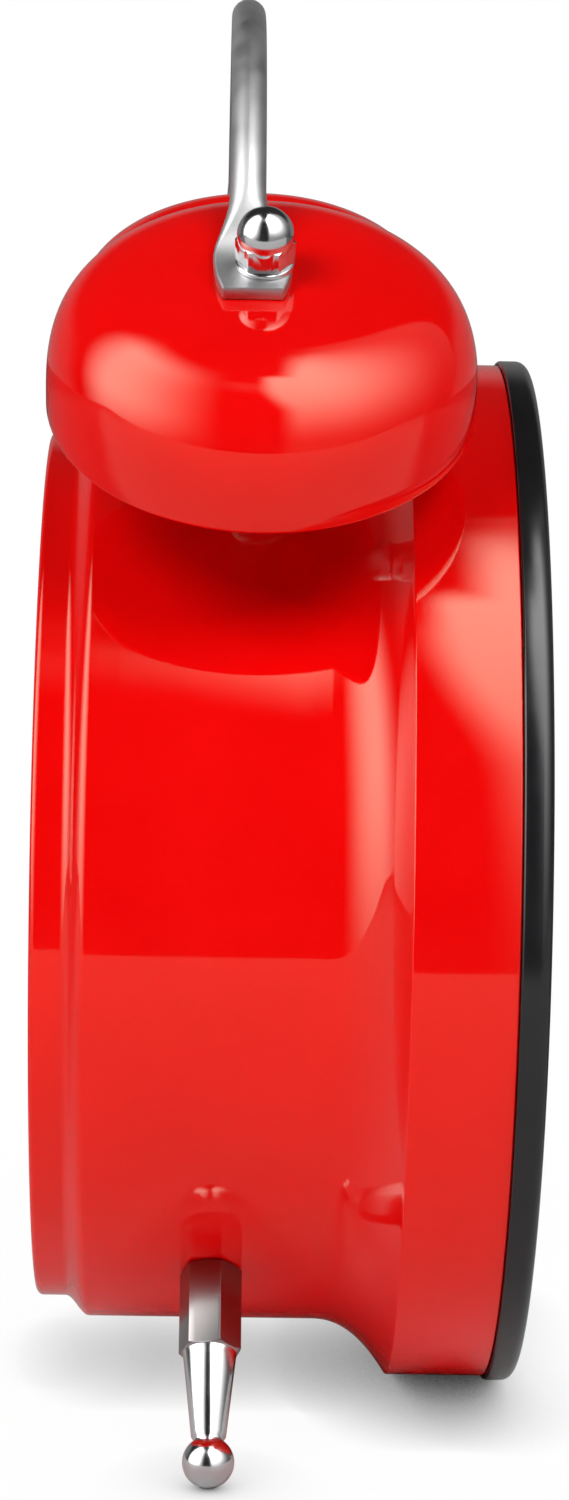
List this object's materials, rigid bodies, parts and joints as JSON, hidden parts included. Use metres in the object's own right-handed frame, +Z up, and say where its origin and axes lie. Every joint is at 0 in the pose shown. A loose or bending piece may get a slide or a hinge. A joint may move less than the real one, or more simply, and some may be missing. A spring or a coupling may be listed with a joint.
{
  "type": "twin bell alarm clock",
  "caption": "Free-standing round alarm clock with a steel drum case, a bell on each shoulder, a hammer between them, an arched carrying handle, ball-footed legs and a battery movement.",
  "frame": {"origin": "bottom centre, on the table under the middle of the clock", "axes": "+Z up, dial facing -Y, back facing +Y"},
  "size_m": [0.118, 0.0544, 0.1584],
  "materials": {
    "red_enamel": "gloss",
    "black_gloss": "gloss",
    "clear_lens": "polished",
    "dial_white": "matt print",
    "dial_black": "matt print",
    "hand_black": "satin",
    "hand_red": "satin",
    "brass": "satin",
    "movement_black": "satin",
    "wheel_white": "satin",
    "board_green": "satin",
    "iron": "satin",
    "copper_wire": "lacquered",
    "back_black": "fine grain",
    "switch_red": "satin",
    "cell_jacket": "satin",
    "chrome": "polished"
  },
  "bodies": {
    "case": {"case_shell": "red_enamel", "front_bezel": "black_gloss", "lens": "clear_lens", "dial_ring": "dial_white", "dial": "dial_white", "dial_marks": "dial_black", "dial_nut": "brass", "movement_front": "movement_black", "movement_back": "movement_black", "movement_plate": "wheel_white", "circuit_board": "board_green", "stator": "iron", "coil": "copper_wire", "back_cover": "back_black", "back_screws": "iron", "battery": "cell_jacket", "battery_contacts": "iron", "bell_left": "red_enamel", "bell_right": "red_enamel", "bell_posts": "iron", "post_nuts": "iron", "cap_nuts": "chrome", "handle": "chrome", "leg_left": "chrome", "leg_right": "chrome", "leg_nuts": "iron", "hammer_bracket": "iron", "hammer_pin": "iron", "magnet": "copper_wire"},
    "minute": {"minute_hand": "hand_black", "cannon_pinion": "brass"},
    "hour": {"hour_hand": "hand_black", "hour_wheel": "wheel_white"},
    "setting": {"minute_wheel": "wheel_white", "set_knob": "back_black"},
    "second": {"second_hand": "hand_red", "second_wheel": "wheel_white"},
    "third": {"third_wheel": "wheel_white"},
    "centre": {"centre_wheel": "brass"},
    "intermediate": {"intermediate_wheel": "wheel_white"},
    "rotor": {"rotor": "iron"},
    "alarm": {"alarm_hand": "brass", "alarm_wheel": "wheel_white"},
    "alarm_setting": {"alarm_stem": "wheel_white", "alarm_knob": "back_black"},
    "hammer": {"hammer": "iron"},
    "switch": {"alarm_switch": "switch_red"},
    "door": {"battery_door": "back_black"}
  },
  "joints": [
    {"name": "minute_turn", "type": "hinge", "parent": "case", "child": "minute", "pos_m": [0, -0.0128, 0.059], "axis": [0, 1, 0], "continuous": true},
    {"name": "hour_turn", "type": "hinge", "parent": "case", "child": "hour", "pos_m": [0, -0.0128, 0.059], "axis": [0, 1, 0], "continuous": true},
    {"name": "setting_turn", "type": "hinge", "parent": "case", "child": "setting", "pos_m": [-0.01125, -0.0088, 0.0655], "axis": [0, 1, 0], "continuous": true},
    {"name": "second_turn", "type": "hinge", "parent": "case", "child": "second", "pos_m": [0, -0.0128, 0.059], "axis": [0, 1, 0], "continuous": true},
    {"name": "third_turn", "type": "hinge", "parent": "case", "child": "third", "pos_m": [0, -0.0028, 0.04677], "axis": [0, 1, 0], "continuous": true},
    {"name": "centre_turn", "type": "hinge", "parent": "case", "child": "centre", "pos_m": [0, -0.0058, 0.059], "axis": [0, 1, 0], "continuous": true},
    {"name": "intermediate_turn", "type": "hinge", "parent": "case", "child": "intermediate", "pos_m": [0, -0.0028, 0.06925], "axis": [0, 1, 0], "continuous": true},
    {"name": "rotor_turn", "type": "hinge", "parent": "case", "child": "rotor", "pos_m": [0.00761, -0.0078, 0.07202], "axis": [0, 1, 0], "continuous": true},
    {"name": "alarm_turn", "type": "hinge", "parent": "case", "child": "alarm", "pos_m": [0, -0.0128, 0.059], "axis": [0, 1, 0], "continuous": true},
    {"name": "alarm_setting_turn", "type": "hinge", "parent": "case", "child": "alarm_setting", "pos_m": [0.01247, -0.0088, 0.0662], "axis": [0, 1, 0], "continuous": true},
    {"name": "hammer_swing", "type": "hinge", "parent": "case", "child": "hammer", "pos_m": [0, 0.0036, 0.103], "axis": [0, 1, 0], "range_deg": [-17, 17]},
    {"name": "switch_slide", "type": "slide", "parent": "case", "child": "switch", "axis": [1, 0, 0], "range_m": [0, 0.004]},
    {"name": "door_hinge", "type": "hinge", "parent": "case", "child": "door", "pos_m": [0, 0.0214, 0.02988], "axis": [-1, 0, 0], "range_deg": [0, 100]}
  ],
  "couplings": [
    {"joint": "hour_turn", "follows": "minute_turn", "ratio": 0.083333},
    {"joint": "setting_turn", "follows": "minute_turn", "ratio": -0.33333},
    {"joint": "third_turn", "follows": "second_turn", "ratio": -0.13333},
    {"joint": "centre_turn", "follows": "second_turn", "ratio": 0.016667},
    {"joint": "intermediate_turn", "follows": "second_turn", "ratio": -3.75},
    {"joint": "rotor_turn", "follows": "second_turn", "ratio": 30},
    {"joint": "alarm_setting_turn", "follows": "alarm_turn", "ratio": -3}
  ]
}
